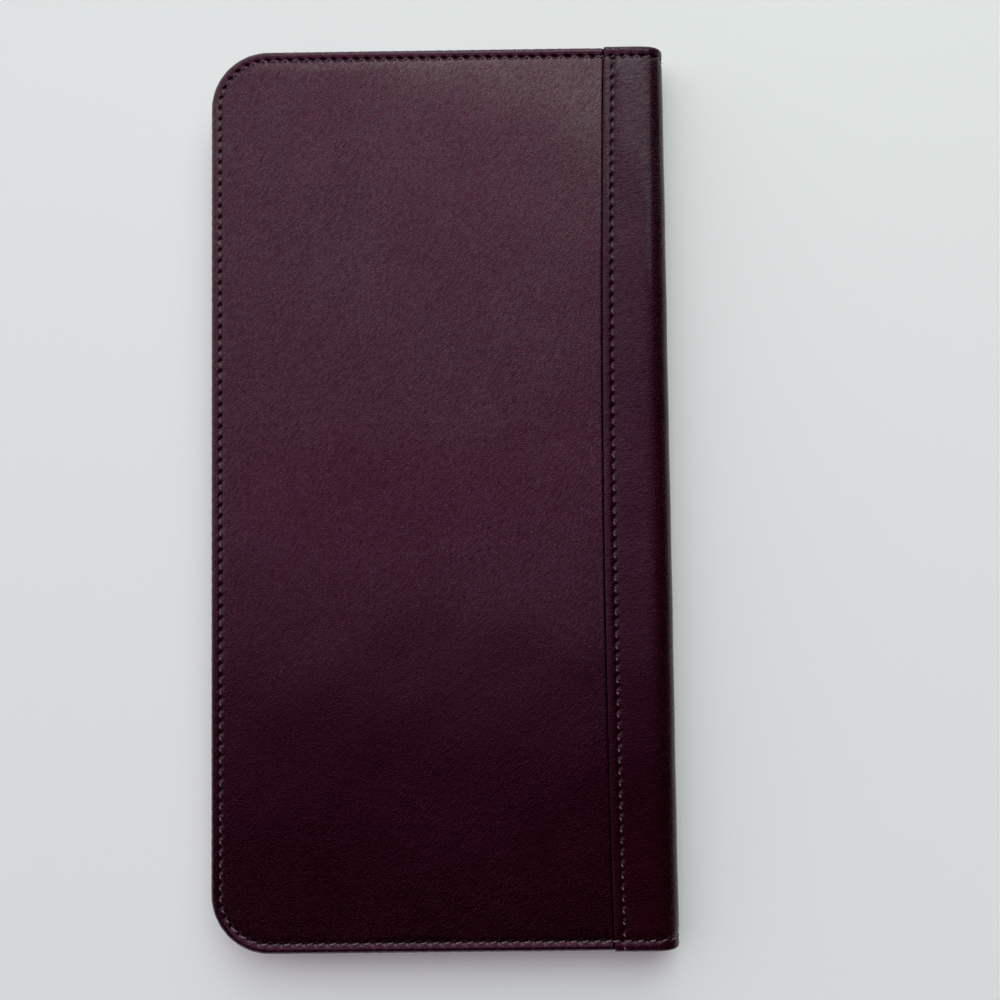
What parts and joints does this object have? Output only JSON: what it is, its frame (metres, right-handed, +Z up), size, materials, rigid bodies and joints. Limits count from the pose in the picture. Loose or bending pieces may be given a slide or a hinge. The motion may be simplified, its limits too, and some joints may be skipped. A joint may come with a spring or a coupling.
{
  "type": "travel document wallet",
  "caption": "Slim book-style leather travel wallet with turned-edge covers on a lapped spine strip, pockets for tickets, documents and a passport, and stepped card slots.",
  "frame": {"origin": "centre of the bounding box's underside, on the table under the closed wallet", "axes": "+X to the spine, +Y to the head (the long way), +Z up out of the front cover"},
  "size_m": [0.1146, 0.2246, 0.0114],
  "materials": {
    "outer_leather": "fine-grained, satin",
    "pocket_leather": "smooth, thin-split",
    "lining": "satin weave",
    "board": "plain",
    "thread": "waxed twist"
  },
  "bodies": {
    "back_cover": {"back_cover_panel": "outer_leather", "spine_strip_back": "outer_leather", "back_stiffener": "board", "back_lining": "lining", "back_edge_thread": "thread", "back_seam_thread": "thread", "ticket_pocket": "pocket_leather", "document_pocket": "pocket_leather", "passport_pocket": "pocket_leather", "pocket_thread": "thread"},
    "spine": {"spine_wall": "outer_leather", "spine_lining": "lining", "spine_fold_back": "outer_leather", "spine_fold_front": "outer_leather"},
    "front_cover": {"front_cover_panel": "outer_leather", "spine_strip_front": "outer_leather", "front_stiffener": "board", "front_lining": "lining", "front_edge_thread": "thread", "front_seam_thread": "thread", "currency_pocket": "pocket_leather", "card_slot_1": "pocket_leather", "card_slot_2": "pocket_leather", "card_slot_3": "pocket_leather", "card_slot_4": "pocket_leather", "card_slot_thread": "thread"}
  },
  "joints": [
    {"name": "back_fold", "type": "hinge", "parent": "back_cover", "child": "spine", "pos_m": [0.05596, 0, 0.00129], "axis": [0, 1, 0], "range_deg": [0, 90], "deforming": ["spine_fold_back"]},
    {"name": "front_fold", "type": "hinge", "parent": "spine", "child": "front_cover", "pos_m": [0.05596, 0, 0.01011], "axis": [0, 1, 0], "range_deg": [0, 90], "deforming": ["spine_fold_front"]}
  ]
}
